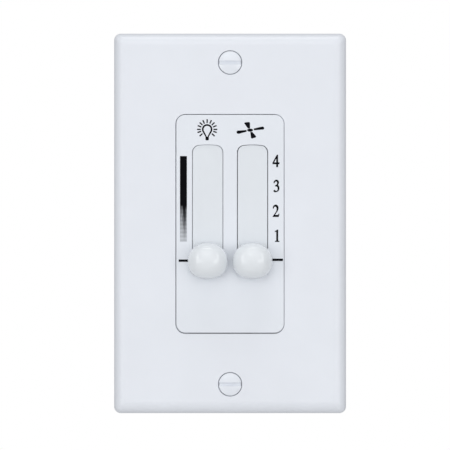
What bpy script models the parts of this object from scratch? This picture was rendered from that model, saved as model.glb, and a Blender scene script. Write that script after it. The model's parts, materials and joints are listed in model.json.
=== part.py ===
"""Single-gang wall control with two slides: a light dimmer and a four-speed fan control.

The origin is the middle of the wall plate on the wall's surface. +X is to the right and +Z is up
for someone who faces the wall, and +Y goes into the wall. Every size below is in millimetres, and
MM turns it into metres where a mesh is made.
"""

import math

import bmesh
import bpy
from mathutils import Vector

MM = 0.001
GAP = 0.3                       # between pieces that rest on each other
PAST = 0.5                      # how far a cutter runs past the face it cuts
SINK = 0.4                      # how far an added shape reaches into the shape it joins

# Wall plate: a standard single-gang decorator plate.
PLATE_WIDTH = 69.85
PLATE_HEIGHT = 114.3
PLATE_FRONT = -6.0
PLATE_WALL = 2.2
PLATE_CORNER = 2.0
PLATE_SHOULDER = 3.6
PLATE_OPENING_WIDTH = 32.9
PLATE_OPENING_HEIGHT = 66.3
PLATE_OPENING_CORNER = 3.0
PLATE_OPENING_EDGE = 0.3
PLATE_SCREW_Z = 48.4            # 96.8 between the plate's two screws
DEVICE_SCREW_Z = 41.65          # 83.3 between the two box screws

# Face insert, which fills the plate's opening.
FACE_WIDTH = 32.4
FACE_HEIGHT = 65.8
FACE_CORNER = 2.7
FACE_FRONT = -6.3
FACE_BACK = -5.1
FACE_WALL = 1.2
FACE_EDGE = 0.4
FACE_FOOT = -1.8                # back of the insert's skirt and bosses

# The two channels, their travel and their slots in the face.
CHANNEL_X = 6.75
KNOB_Z = -11.2                  # both knobs at rest, switched off
TRAVEL = 30.0
SPEED_COUNT = 4
SPEED_PITCH = TRAVEL / SPEED_COUNT
SLOT_WIDTH = 9.5
SLOT_LOW = -16.2
SLOT_HIGH = 23.8
SLOT_CORNER = 1.8
SLOT_CROWN = 0.5                # how far the slot's ends bulge at their middle

# Depths of the layers behind the face, front to back.
LAND_FRONT = -6.0               # raised middle of each channel's floor, which fills its slot
FLOOR_FRONT = -3.9
FLOOR_BACK = -3.1
STRAP_FRONT = -1.5
STRAP_BACK = 0.0
SHEET_FRONT = STRAP_BACK + GAP
SHEET_BACK = 0.55
SWITCH_FRONT = 0.85             # front of the slide resistor and of the fan switch
SWITCH_BACK = 6.9
BOARD_FRONT = 7.7
BOARD_BACK = 9.3
PART_FOOT = BOARD_BACK + GAP    # where the tall parts on the board start
HOUSING_FRONT = STRAP_BACK + GAP
HOUSING_BACK = 31.0
HOUSING_WALL = 1.8

# Saddle and lever: they straddle the channel's land and carry the knob's motion to the back.
SLIT_WIDTH = 0.3                # between the land and each side of the slot
LAND_END_GAP = 0.25
SADDLE_LEG = 0.14
SADDLE_HALF_WIDTH = (SLOT_WIDTH - SLIT_WIDTH + SADDLE_LEG) / 2
SADDLE_HALF_LENGTH = 2.6
SADDLE_FRONT = -6.6
SADDLE_BACK = -6.2
STEM_HALF_WIDTH = 2.2
STEM_TIP = -10.4
LEVER_HALF_LENGTH = 2.6
LEVER_FRONT = -2.8
LEVER_BACK = -1.95
TONGUE_HALF_WIDTH = 1.0
TONGUE_TIP = 3.6
CARRIAGE_HALF_LENGTH = 3.2
POCKET_BACK = TONGUE_TIP + GAP

# Knob: a round button, a little wider than it is tall.
KNOB_WIDTH = 12.0
KNOB_HEIGHT = 10.7
KNOB_BACK = -6.8
KNOB_UPPER_POWER = 2.08         # 2 is an ellipse, more is squarer
KNOB_LOWER_POWER = 2.4
KNOB_SEGMENTS = 24
KNOB_WIDEST = 1.8               # distance in front of the knob's back
KNOB_CAP_SHARE = 0.6            # rings smaller than this belong to the cap in front
KNOB_CAP_RISE = 0.5             # the cap stands this much above the knob's middle
# (share of the full outline, distance in front of the knob's back)
KNOB_RINGS = (
    (0.94, 0.0), (0.99, 1.1), (1.0, KNOB_WIDEST), (0.985, 2.85), (0.935, 3.9), (0.85, 4.86), (0.75, 5.63),
    (0.65, 6.2), (0.55, 6.57), (0.42, 6.86), (0.25, 7.08), (0.1, 7.2),
)

# Strap, housing and the screws that hold the housing, strap and insert together.
STRAP_HALF_WIDTH = 22.25
STRAP_HALF_HEIGHT = 52.4
STRAP_SHOULDER_Z = 35.4
EAR_NECK_X = 11.0
EAR_NECK_Z = 38.0
EAR_LOBE_X = 17.4
EAR_LOBE_Z = 43.6
EAR_SCORE_WIDTH = 0.9
EAR_SCORE_LOW = 45.2
EAR_SCORE_HIGH = 50.8
HOUSING_HALF_HEIGHT = 33.0
HOUSING_CORNER = 3.0
POST_X = 12.0
POST_Z = 29.6
POST_RADIUS = 2.8
BOSS_RADIUS = 2.6
HOUSING_SCREW_RADIUS = 1.2
HOUSING_BORE = HOUSING_SCREW_RADIUS + GAP
HOUSING_SCREW_SUNK = 1.7        # depth of the counterbore for the screw's head
LEAD_EXIT_CENTRE = (-9.5, -14.0)
LEAD_EXIT_WIDTH = 15.0
LEAD_EXIT_HEIGHT = 5.6

# Slide resistor and fan switch, each centred on its channel.
SWITCH_LOW = -16.6
SWITCH_HIGH = 24.2
CAN_HALF_WIDTH = 4.6
CAN_WALL = 0.6
CASE_HALF_WIDTH = 6.0
CASE_SIDE_WALL = 1.3
CASE_FRONT_WALL = 0.8
ELEMENT_FRONT = 5.9
ELEMENT_BACK = 6.7
PIN_HALF = 0.3
PIN_TIP = 9.2                   # pins end inside the board
PIN_HOLE = PIN_HALF + GAP
LIGHT_PIN_Z = (-14.4, 3.8, 22.0)
FAN_RAIL_PIN_Z = 3.8
FAN_RAIL_X = -2.2
FAN_CONTACT_X = 2.2

# Finger on the slide resistor's carriage, which works the air-gap switch. X is from the channel.
FINGER_TIP = -6.8
FINGER_DEPTH = (2.9, 4.1)
FINGER_HALF_HEIGHT = 1.0

# Triac, riveted to the strap for cooling.
TRIAC_CENTRE_Z = -24.4
TRIAC_HALF_LENGTH = 7.8
TRIAC_HALF_WIDTH = 5.1
RIVET_X = -4.9
RIVET_RADIUS = 1.5
LEAD_PITCH = 2.54
LEAD_BEND_X = 8.85

# name: (colour, roughness, metallic)
FINISHES = {
    "plate_white": ((0.80, 0.83, 0.88), 0.35, 0.0),
    "face_white": ((0.78, 0.82, 0.87), 0.40, 0.0),
    "knob_white": ((0.86, 0.88, 0.90), 0.22, 0.0),
    "screw_white": ((0.82, 0.84, 0.88), 0.30, 0.0),
    "steel": ((0.62, 0.63, 0.65), 0.35, 1.0),
    "spring_steel": ((0.70, 0.70, 0.72), 0.30, 1.0),
    "brass": ((0.72, 0.55, 0.25), 0.30, 1.0),
    "black_plastic": ((0.03, 0.03, 0.035), 0.50, 0.0),
    "fibre": ((0.55, 0.38, 0.22), 0.85, 0.0),
    "laminate": ((0.50, 0.30, 0.12), 0.60, 0.0),
    "board_green": ((0.05, 0.22, 0.09), 0.45, 0.0),
    "ferrite": ((0.10, 0.10, 0.11), 0.70, 0.0),
    "copper": ((0.80, 0.38, 0.18), 0.35, 1.0),
    "capacitor_yellow": ((0.80, 0.60, 0.10), 0.45, 0.0),
    "capacitor_blue": ((0.08, 0.20, 0.50), 0.45, 0.0),
    "capacitor_grey": ((0.35, 0.36, 0.38), 0.50, 0.0),
    "resistor_tan": ((0.70, 0.55, 0.35), 0.50, 0.0),
    "glass_orange": ((0.75, 0.30, 0.10), 0.20, 0.0),
}

# For each axis, the two others, in X, Y, Z order.
OTHER_AXES = {"X": (1, 2), "Y": (0, 2), "Z": (0, 1)}
SHARP_ANGLE = math.radians(35)


def clear_scene():
    for old in list(bpy.data.objects):
        bpy.data.objects.remove(old, do_unlink=True)


def piece_material(name, finish):
    colour, roughness, metallic = FINISHES[finish]
    material = bpy.data.materials.new(f"{name}_{finish}")
    material.use_nodes = True
    shader = material.node_tree.nodes["Principled BSDF"]
    shader.inputs["Base Color"].default_value = (*colour, 1.0)
    shader.inputs["Roughness"].default_value = roughness
    shader.inputs["Metallic"].default_value = metallic
    return material


def add_object(name, bm, finish):
    """Turn a bmesh that holds closed bodies, in metres, into an object."""
    bmesh.ops.recalc_face_normals(bm, faces=bm.faces)
    mesh = bpy.data.meshes.new(name)
    bm.to_mesh(mesh)
    bm.free()
    mesh.shade_smooth()
    mesh.set_sharp_from_angle(angle=SHARP_ANGLE)
    mesh.materials.append(piece_material(name, finish))
    piece = bpy.data.objects.new(name, mesh)
    bpy.context.scene.collection.objects.link(piece)
    return piece


def point_at(axis, pair, along):
    """A point in metres: pair in the plane across the axis, along on the axis."""
    values = [0.0, 0.0, 0.0]
    first, second = OTHER_AXES[axis]
    values[first] = pair[0]
    values[second] = pair[1]
    values["XYZ".index(axis)] = along
    return Vector(values) * MM


def rectangle(low, high):
    return [(low[0], low[1]), (high[0], low[1]), (high[0], high[1]), (low[0], high[1])]


def rounded_rectangle(width, height, radius, steps=3, centre=(0.0, 0.0)):
    outline = []
    corners = ((1, 1, 0), (-1, 1, 90), (-1, -1, 180), (1, -1, 270))
    for side_x, side_z, start in corners:
        middle_x = centre[0] + side_x * (width / 2 - radius)
        middle_z = centre[1] + side_z * (height / 2 - radius)
        for step in range(steps + 1):
            angle = math.radians(start + 90 * step / steps)
            outline.append((middle_x + radius * math.cos(angle), middle_z + radius * math.sin(angle)))
    return outline


def mirrored_outline(quarter):
    """Full outline from the quarter at +X and +Z, listed from the side to the top."""
    outline = list(quarter)
    outline += [(-x, z) for x, z in reversed(quarter)]
    outline += [(-x, -z) for x, z in quarter]
    outline += [(x, -z) for x, z in reversed(quarter)]
    return outline


def circle(radius, centre=(0.0, 0.0), segments=16):
    angles = [2 * math.pi * step / segments for step in range(segments)]
    return [(centre[0] + radius * math.cos(angle), centre[1] + radius * math.sin(angle)) for angle in angles]


def add_prism(bm, outline, low, high, axis="Y"):
    bottom = [bm.verts.new(point_at(axis, pair, low)) for pair in outline]
    face = bm.faces.new(bottom)
    extruded = bmesh.ops.extrude_face_region(bm, geom=[face], use_keep_orig=True)
    moved = [item for item in extruded["geom"] if isinstance(item, bmesh.types.BMVert)]
    bmesh.ops.translate(bm, verts=moved, vec=point_at(axis, (0.0, 0.0), high - low))


def prism(name, outline, low, high, finish, axis="Y"):
    bm = bmesh.new()
    add_prism(bm, outline, low, high, axis)
    return add_object(name, bm, finish)


def add_box(bm, x, y, z):
    add_prism(bm, rectangle((x[0], z[0]), (x[1], z[1])), y[0], y[1])


def around(x, z, half_x, half_z, depth):
    """Span of a box centred at (x, z), for boxes."""
    return ((x - half_x, x + half_x), depth, (z - half_z, z + half_z))


def boxes(name, spans, finish):
    """One object that holds a box for each (x, y, z) in spans, each a pair of low and high."""
    bm = bmesh.new()
    for x, y, z in spans:
        add_box(bm, x, y, z)
    return add_object(name, bm, finish)


def add_loft(bm, rings, depths, closed=False):
    """Bridge rings of equal length along Y. A closed loft joins its last ring to its first."""
    loops = []
    for ring, depth in zip(rings, depths):
        loops.append([bm.verts.new(point_at("Y", pair, depth)) for pair in ring])
    count = len(loops[0])
    pairs = list(zip(loops, loops[1:]))
    if closed:
        pairs.append((loops[-1], loops[0]))
    for near, far in pairs:
        for index in range(count):
            following = (index + 1) % count
            bm.faces.new((near[index], near[following], far[following], far[index]))
    if not closed:
        bm.faces.new(loops[0])
        bm.faces.new(loops[-1])


def loft(name, rings, depths, finish, closed=False):
    bm = bmesh.new()
    add_loft(bm, rings, depths, closed)
    return add_object(name, bm, finish)


def turned(name, profile, centres, finish, closed=False, segments=16):
    """Turn a profile of (radius, depth) about a Y axis, once for each centre."""
    bm = bmesh.new()
    depths = [depth for _, depth in profile]
    for centre in centres:
        rings = [circle(radius, centre, segments) for radius, _ in profile]
        add_loft(bm, rings, depths, closed)
    return add_object(name, bm, finish)


def use_as_tool(piece, tool, operation):
    tool.hide_render = True
    tool.display_type = "WIRE"
    modifier = piece.modifiers.new(tool.name, "BOOLEAN")
    modifier.operation = operation
    modifier.solver = "EXACT"
    modifier.object = tool


def cut(piece, *cutters):
    for cutter in cutters:
        use_as_tool(piece, cutter, "DIFFERENCE")


def merge(piece, *additions):
    for addition in additions:
        use_as_tool(piece, addition, "UNION")


def place(piece, x, z=0.0, parent=None):
    piece.location = Vector((x, 0.0, z)) * MM
    piece.parent = parent


def post_centres():
    return [(side_x * POST_X, side_z * POST_Z) for side_x in (-1, 1) for side_z in (-1, 1)]


# ---- Wall plate and its screws ----

def shoulder_profile(steps=4):
    """(inset, depth) from the plate's side, round the shoulder, to its front."""
    start = PLATE_FRONT + PLATE_SHOULDER
    profile = []
    for step in range(steps + 1):
        angle = math.radians(90 * step / steps)
        inset = PLATE_SHOULDER * (1 - math.cos(angle))
        profile.append((inset, start - PLATE_SHOULDER * math.sin(angle)))
    return profile


def plate_ring(inset):
    corner = max(PLATE_CORNER - inset / 2, PLATE_CORNER / 2)
    return rounded_rectangle(PLATE_WIDTH - 2 * inset, PLATE_HEIGHT - 2 * inset, corner)


def opening_ring(growth=0.0):
    width = PLATE_OPENING_WIDTH + 2 * growth
    height = PLATE_OPENING_HEIGHT + 2 * growth
    return rounded_rectangle(width, height, PLATE_OPENING_CORNER + growth)


def make_wall_plate():
    """One closed section carried round the plate: side, shoulder, front, opening, inside."""
    inner_face = PLATE_FRONT + PLATE_WALL
    rings = [plate_ring(0.0)]
    depths = [0.0]
    for inset, depth in shoulder_profile():
        rings.append(plate_ring(inset))
        depths.append(depth)
    opening, inside = opening_ring(), plate_ring(PLATE_WALL)
    rings += [opening_ring(PLATE_OPENING_EDGE), opening, opening, inside, inside]
    depths += [PLATE_FRONT, PLATE_FRONT + PLATE_OPENING_EDGE, inner_face, inner_face, 0.0]
    plate = loft("wall_plate", rings, depths, "plate_white", closed=True)

    mouth, hole, lip, cone_back = 3.85, 2.1, 0.15, 1.9
    countersink = (
        (mouth, PLATE_FRONT - PAST), (mouth, PLATE_FRONT + lip),
        (hole, PLATE_FRONT + cone_back), (hole, inner_face + PAST),
    )
    centres = [(0.0, PLATE_SCREW_Z), (0.0, -PLATE_SCREW_Z)]
    cut(plate, turned("wall_plate_countersinks", countersink, centres, "plate_white"))


def slotted_screw(name, profile, z, head_front, slot_depth, finish):
    """A screw whose profile is (radius, depth) from its head to its tip, with a level slot."""
    slot_width = 1.1
    reach = max(radius for radius, _ in profile) + PAST
    screw = turned(name, profile, [(0.0, z)], finish)
    slot = around(0.0, z, reach, slot_width / 2, (head_front - PAST, head_front + slot_depth))
    cut(screw, boxes(f"{name}_slot", [slot], finish))


def make_plate_screws():
    """Oval-head screws: a low dome in front, a cone behind it, and a shank through the strap."""
    head, shank, crown, rim, cone, tip, slot_depth = 3.5, 1.4, 0.5, 0.25, 2.3, 6.0, 0.9
    front = PLATE_FRONT - crown
    profile = (
        (head * 0.37, front), (head * 0.74, front + crown / 3), (head, PLATE_FRONT), (head, PLATE_FRONT + rim),
        (shank, PLATE_FRONT + cone), (shank, tip - shank / 2), (shank / 2, tip),
    )
    for name, z in (("plate_screw_upper", PLATE_SCREW_Z), ("plate_screw_lower", -PLATE_SCREW_Z)):
        slotted_screw(name, profile, z, front, slot_depth, "screw_white")


# ---- Face insert and the channels behind it ----

def face_ring(inset, corner=FACE_CORNER):
    return rounded_rectangle(FACE_WIDTH - 2 * inset, FACE_HEIGHT - 2 * inset, corner)


def slot_outline(centre_x, side_gap=0.0, end_gap=0.0, corner_steps=4, crown_steps=4):
    """Slot with round corners, whose ends bulge by SLOT_CROWN at their middle, or a land inside it."""
    half_width = SLOT_WIDTH / 2 - side_gap
    flat = SLOT_WIDTH / 2 - SLOT_CORNER
    corner_width = half_width - flat
    end = []
    for step in range(corner_steps + 1):
        angle = math.radians(90 * step / corner_steps)
        end.append((flat + corner_width * math.cos(angle), SLOT_CORNER * (math.sin(angle) - 1)))
    for step in range(1, crown_steps):
        end.append((flat * (1 - 2 * step / crown_steps), 0.0))
    for x, z in end[corner_steps::-1]:
        end.append((-x, z))
    middle = (SLOT_LOW + SLOT_HIGH) / 2
    half_length = (SLOT_HIGH - SLOT_LOW) / 2 - SLOT_CROWN - end_gap
    outline = []
    for side in (1, -1):
        for x, z in end:
            bulge = SLOT_CROWN * (1 - (x / half_width) ** 2)
            outline.append((centre_x + side * x, middle + side * (half_length + z + bulge)))
    return outline


def channel_slot(name, x):
    """Cutter for one slot through the face."""
    return prism(name, slot_outline(x), FACE_FRONT - PAST, FACE_BACK + PAST, "face_white")


def make_face_insert():
    inner_corner = FACE_CORNER - FACE_WALL
    rings = [
        face_ring(FACE_EDGE), face_ring(0.0), face_ring(0.0),
        face_ring(FACE_WALL, inner_corner), face_ring(FACE_WALL, inner_corner),
    ]
    depths = [FACE_FRONT, FACE_FRONT + FACE_EDGE, FACE_FOOT, FACE_FOOT, FACE_BACK]
    insert = loft("face_insert", rings, depths, "face_white")
    boss = ((BOSS_RADIUS, FACE_BACK - SINK), (BOSS_RADIUS, FACE_FOOT))
    merge(insert, turned("face_insert_bosses", boss, post_centres(), "face_white"))
    pilot = ((HOUSING_BORE, FACE_BACK + GAP), (HOUSING_BORE, FACE_FOOT + PAST))
    cut(insert, turned("face_insert_pilots", pilot, post_centres(), "face_white", segments=12))
    cut(insert, channel_slot("light_slot_cutter", -CHANNEL_X), channel_slot("fan_slot_cutter", CHANNEL_X))


def make_channel_plate():
    """Fixed floor of both channels: a land fills each slot, with a slit down each side of it."""
    half_width, half_height, tongue_half_width, tongue_half_height = 14.8, 26.6, 8.9, 31.4
    quarter = [
        (half_width, half_height), (tongue_half_width, half_height), (tongue_half_width, tongue_half_height),
    ]
    floor = prism("channel_plate", mirrored_outline(quarter), FLOOR_FRONT, FLOOR_BACK, "face_white")

    under_land = 0.15               # how far each slit reaches under its land
    slit_inner = SLOT_WIDTH / 2 - SLIT_WIDTH - under_land
    slit_outer = SADDLE_HALF_WIDTH + GAP
    slit_length = (KNOB_Z - SADDLE_HALF_LENGTH - GAP, KNOB_Z + TRAVEL + SADDLE_HALF_LENGTH + GAP)
    slit_depth = (FLOOR_FRONT - PAST, FLOOR_BACK + PAST)
    slits = []
    for channel in (-CHANNEL_X, CHANNEL_X):
        slits.append(((channel - slit_outer, channel - slit_inner), slit_depth, slit_length))
        slits.append(((channel + slit_inner, channel + slit_outer), slit_depth, slit_length))
    cut(floor, boxes("channel_plate_slits", slits, "face_white"))

    for name, x in (("light_land", -CHANNEL_X), ("fan_land", CHANNEL_X)):
        outline = slot_outline(x, SLIT_WIDTH, LAND_END_GAP)
        merge(floor, prism(name, outline, LAND_FRONT, FLOOR_FRONT + SINK, "face_white"))
    rail_inner, rail_outer, rib_half_width, rail_half_length = 13.8, 14.5, 0.45, 26.0
    depth, length = (FACE_BACK + GAP, FACE_FOOT), (-rail_half_length, rail_half_length)
    spans = [((-rail_outer, -rail_inner), depth, length), ((rail_inner, rail_outer), depth, length)]
    spans.append(((-rib_half_width, rib_half_width), depth, length))
    merge(floor, boxes("channel_plate_rails", spans, "face_white"))


# ---- Sliding pieces, each built about its knob's centre ----

def knob_ring(share, forward):
    rise = 0.0
    if forward > KNOB_WIDEST:
        rise = KNOB_CAP_RISE * min((1 - share) / (1 - KNOB_CAP_SHARE), 1.0)
    ring = []
    for step in range(KNOB_SEGMENTS):
        angle = 2 * math.pi * step / KNOB_SEGMENTS
        across, up = math.cos(angle), math.sin(angle)
        power = KNOB_UPPER_POWER if up >= 0 else KNOB_LOWER_POWER
        x = math.copysign(abs(across) ** (2 / power), across) * KNOB_WIDTH / 2
        z = math.copysign(abs(up) ** (2 / power), up) * KNOB_HEIGHT / 2
        ring.append((share * x, share * z + rise))
    return ring


def make_knob(name, axis):
    rings = [knob_ring(share, forward) for share, forward in KNOB_RINGS]
    depths = [KNOB_BACK - forward for _, forward in KNOB_RINGS]
    knob = loft(name, rings, depths, "knob_white")
    place(knob, 0.0, parent=axis)
    half_x = STEM_HALF_WIDTH + GAP
    half_z = SADDLE_HALF_LENGTH + GAP
    span = around(0.0, 0.0, half_x, half_z, (STEM_TIP - GAP, KNOB_BACK + PAST))
    socket = boxes(f"{name}_socket", [span], "knob_white")
    place(socket, 0.0, parent=axis)
    cut(knob, socket)


def make_saddle(name, axis):
    """Steel stem for the knob, a thin bridge across the land, and a thin leg back through each slit."""
    inner = SADDLE_HALF_WIDTH - SADDLE_LEG
    half = [
        (STEM_HALF_WIDTH, STEM_TIP), (STEM_HALF_WIDTH, SADDLE_FRONT), (SADDLE_HALF_WIDTH, SADDLE_FRONT),
        (SADDLE_HALF_WIDTH, FACE_FOOT), (inner, FACE_FOOT), (inner, SADDLE_BACK),
    ]
    outline = half + [(-x, y) for x, y in reversed(half)]
    saddle = prism(name, outline, -SADDLE_HALF_LENGTH, SADDLE_HALF_LENGTH, "steel", axis="Z")
    place(saddle, 0.0, parent=axis)


def make_lever(name, axis):
    """Cross bar between the saddle's legs, with a tongue back through the strap."""
    bar = SADDLE_HALF_WIDTH - SADDLE_LEG - GAP
    half = [
        (bar, LEVER_FRONT), (bar, LEVER_BACK), (TONGUE_HALF_WIDTH, LEVER_BACK), (TONGUE_HALF_WIDTH, TONGUE_TIP),
    ]
    outline = half + [(-x, y) for x, y in reversed(half)]
    lever = prism(name, outline, -LEVER_HALF_LENGTH, LEVER_HALF_LENGTH, "black_plastic", axis="Z")
    place(lever, 0.0, parent=axis)


def tongue_pocket(name, front, axis):
    half_x = TONGUE_HALF_WIDTH + GAP
    half_z = LEVER_HALF_LENGTH + GAP
    pocket = boxes(name, [around(0.0, 0.0, half_x, half_z, (front - PAST, POCKET_BACK))], "black_plastic")
    place(pocket, 0.0, parent=axis)
    return pocket


def bowed_strip(name, half_width, length, foot, bow, thickness, axis):
    """Contact spring: a strip along Z that bows back towards the contacts in its middle."""
    flat = length * 0.6
    front = [(foot, -length), (foot, -flat), (foot + bow, 0.0), (foot, flat), (foot, length)]
    back = [(y + thickness, z) for y, z in reversed(front)]
    strip = prism(name, front + back, -half_width, half_width, "brass", axis="X")
    place(strip, 0.0, parent=axis)


def make_light_carriage(axis):
    """Wiper carriage, with a finger out of the can's side that works the air-gap switch."""
    front, back, half_width = 1.75, 4.6, 3.6
    block = around(0.0, 0.0, half_width, CARRIAGE_HALF_LENGTH, (front, back))
    carriage = boxes("light_wiper_carriage", [block], "black_plastic")
    place(carriage, 0.0, parent=axis)
    finger_span = ((FINGER_TIP, SINK - half_width), FINGER_DEPTH, (-FINGER_HALF_HEIGHT, FINGER_HALF_HEIGHT))
    finger = boxes("light_finger", [finger_span], "black_plastic")
    place(finger, 0.0, parent=axis)
    merge(carriage, finger)
    cut(carriage, tongue_pocket("light_tongue_pocket", front, axis))
    bowed_strip("light_wiper_contact", 1.8, 2.8, 4.9, 0.45, 0.25, axis)


def make_fan_carriage(axis):
    front, back, left, right = 1.95, 4.3, -4.4, 2.9
    block = ((left, right), (front, back), (-CARRIAGE_HALF_LENGTH, CARRIAGE_HALF_LENGTH))
    carriage = boxes("fan_carriage", [block], "black_plastic")
    place(carriage, 0.0, parent=axis)
    cut(carriage, tongue_pocket("fan_tongue_pocket", front, axis))
    bowed_strip("fan_bridge_contact", 3.0, 2.2, 4.6, 0.1, 0.2, axis)

    foot, bump, thickness, reach = right + GAP, 4.4, 0.25, 3.0
    outer = [(foot + thickness, -reach), (foot + thickness, -1.8), (bump, -0.4), (bump, 0.4),
             (foot + thickness, 1.8), (foot + thickness, reach)]
    inner = [(x - thickness, z) for x, z in reversed(outer)]
    spring = prism("fan_detent_spring", outer + inner, front + 0.2, back - 0.2, "spring_steel")
    place(spring, 0.0, parent=axis)


# ---- Fixed halves of the slide resistor and of the fan switch ----

def lever_slot(name, depth):
    """Cutter with a slot for the lever's tongue on each channel."""
    half_width = TONGUE_HALF_WIDTH + GAP + 0.15
    clearance = LEVER_HALF_LENGTH + 2 * GAP
    length = (KNOB_Z - clearance, KNOB_Z + TRAVEL + clearance)
    spans = [((x - half_width, x + half_width), depth, length) for x in (-CHANNEL_X, CHANNEL_X)]
    return boxes(name, spans, "steel")


def switch_ring(half_width, inset):
    return rectangle((-half_width + inset, SWITCH_LOW + inset), (half_width - inset, SWITCH_HIGH - inset))


def make_light_resistor():
    """Slide resistor: a steel can, open at the back, and the resistive element in its mouth."""
    outer, inner = switch_ring(CAN_HALF_WIDTH, 0.0), switch_ring(CAN_HALF_WIDTH, CAN_WALL)
    inner_front = SWITCH_FRONT + CAN_WALL
    can = loft(
        "light_resistor_can", [outer, outer, inner, inner],
        [SWITCH_FRONT, SWITCH_BACK, SWITCH_BACK, inner_front], "steel",
    )
    place(can, -CHANNEL_X)
    cut(can, lever_slot("light_can_slot", (SWITCH_FRONT - PAST, inner_front + PAST)))
    reach = FINGER_HALF_HEIGHT + 2 * GAP
    side = (
        (-CAN_HALF_WIDTH - PAST, -CAN_HALF_WIDTH + CAN_WALL + PAST),
        (FINGER_DEPTH[0] - GAP, FINGER_DEPTH[1] + GAP), (KNOB_Z - reach, KNOB_Z + TRAVEL + reach),
    )
    side_slot = boxes("light_can_side_slot", [side], "steel")
    place(side_slot, -CHANNEL_X)
    cut(can, side_slot)

    half_width = CAN_HALF_WIDTH - CAN_WALL - GAP
    margin = CAN_WALL + GAP
    length = (SWITCH_LOW + margin, SWITCH_HIGH - margin)
    plate = ((-half_width, half_width), (ELEMENT_FRONT, ELEMENT_BACK), length)
    element = boxes("light_resistor_element", [plate], "laminate")
    place(element, -CHANNEL_X)
    pins = [around(0.0, z, PIN_HALF, PIN_HALF, (ELEMENT_BACK - SINK, PIN_TIP)) for z in LIGHT_PIN_Z]
    pin_guide = boxes("light_resistor_pins", pins, "laminate")
    place(pin_guide, -CHANNEL_X)
    merge(element, pin_guide)


def make_air_gap_switch():
    """Leaf and fixed contact beside the can: the carriage's finger holds the leaf off when slid down."""
    thickness, front, back, foot_back = 0.3, 2.6, 4.4, BOARD_FRONT - GAP
    path = [(-8.2, 2.0), (-8.2, -6.0), (-7.3, KNOB_Z), (-7.9, -15.2)]
    outline = path + [(x - thickness, z) for x, z in reversed(path)]
    leaf = prism("air_gap_leaf", outline, front, back, "brass")
    foot = boxes("air_gap_leaf_foot", [((-8.9, -7.9), (front + 0.2, foot_back), (0.4, 1.8))], "brass")
    place(leaf, -CHANNEL_X)
    place(foot, -CHANNEL_X)
    merge(leaf, foot)
    post = boxes("air_gap_contact", [((-7.0, -6.3), (front - 0.2, foot_back), (-15.8, -13.8))], "brass")
    place(post, -CHANNEL_X)


def detent_outline(left, right, low, high):
    """Cavity of the fan switch: a rectangle with a round notch at each of the five settings."""
    radius, steps = 0.9, 4
    outline = [(left, high), (left, low), (right, low)]
    for setting in range(SPEED_COUNT + 1):
        z = KNOB_Z + setting * SPEED_PITCH
        for step in range(steps + 1):
            angle = math.radians(-90 + 180 * step / steps)
            outline.append((right + radius * math.cos(angle), z + radius * math.sin(angle)))
    outline.append((right, high))
    return outline


def make_fan_switch():
    block = ((-CASE_HALF_WIDTH, CASE_HALF_WIDTH), (SWITCH_FRONT, SWITCH_BACK), (SWITCH_LOW, SWITCH_HIGH))
    case = boxes("fan_switch_case", [block], "black_plastic")
    place(case, CHANNEL_X)
    cavity_half = CASE_HALF_WIDTH - CASE_SIDE_WALL
    low, high = SWITCH_LOW + CAN_WALL, SWITCH_HIGH - CAN_WALL
    cavity_front = SWITCH_FRONT + CASE_FRONT_WALL
    outline = detent_outline(-cavity_half, cavity_half, low, high)
    cavity = prism("fan_cavity", outline, cavity_front, SWITCH_BACK + PAST, "black_plastic")
    place(cavity, CHANNEL_X)
    cut(case, cavity, lever_slot("fan_case_slot", (SWITCH_FRONT - PAST, cavity_front + PAST)))

    half_width = cavity_half - GAP
    plate = ((-half_width, half_width), (ELEMENT_FRONT, ELEMENT_BACK), (low + GAP, high - GAP))
    base = boxes("fan_switch_base", [plate], "laminate")
    place(base, CHANNEL_X)
    depth = (ELEMENT_FRONT - PAST, ELEMENT_BACK + PAST)
    holes = [around(x, z, PIN_HOLE, PIN_HOLE, depth) for x, z in fan_pin_centres()]
    hole_cutter = boxes("fan_base_holes", holes, "laminate")
    place(hole_cutter, CHANNEL_X)
    cut(base, hole_cutter)


def speed_positions():
    return [KNOB_Z + (setting + 1) * SPEED_PITCH for setting in range(SPEED_COUNT)]


def fan_pin_centres():
    """(x from the channel, z) of the pins of the common rail and of the four speed contacts."""
    return [(FAN_RAIL_X, FAN_RAIL_PIN_Z)] + [(FAN_CONTACT_X, z) for z in speed_positions()]


def make_fixed_contact(name, x, z, half_length, pin_z):
    """Flat contact in front of the switch's base, with a pin through the base to the board."""
    half_width, thickness = 0.9, 0.4
    back = ELEMENT_FRONT - GAP
    pad = boxes(name, [around(x, z, half_width, half_length, (back - thickness, back))], "brass")
    pin = boxes(f"{name}_pin", [around(x, pin_z, PIN_HALF, PIN_HALF, (back - thickness / 2, PIN_TIP))], "brass")
    place(pad, CHANNEL_X)
    place(pin, CHANNEL_X)
    merge(pad, pin)


def make_fan_contacts():
    middle, rail_half_length, contact_half_length = KNOB_Z + TRAVEL / 2, 18.2, 2.4
    make_fixed_contact("fan_common_rail", FAN_RAIL_X, middle, rail_half_length, FAN_RAIL_PIN_Z)
    for number, z in enumerate(speed_positions(), start=1):
        make_fixed_contact(f"fan_contact_speed_{number}", FAN_CONTACT_X, z, contact_half_length, z)


# ---- Strap, insulating sheet and circuit board ----

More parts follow.
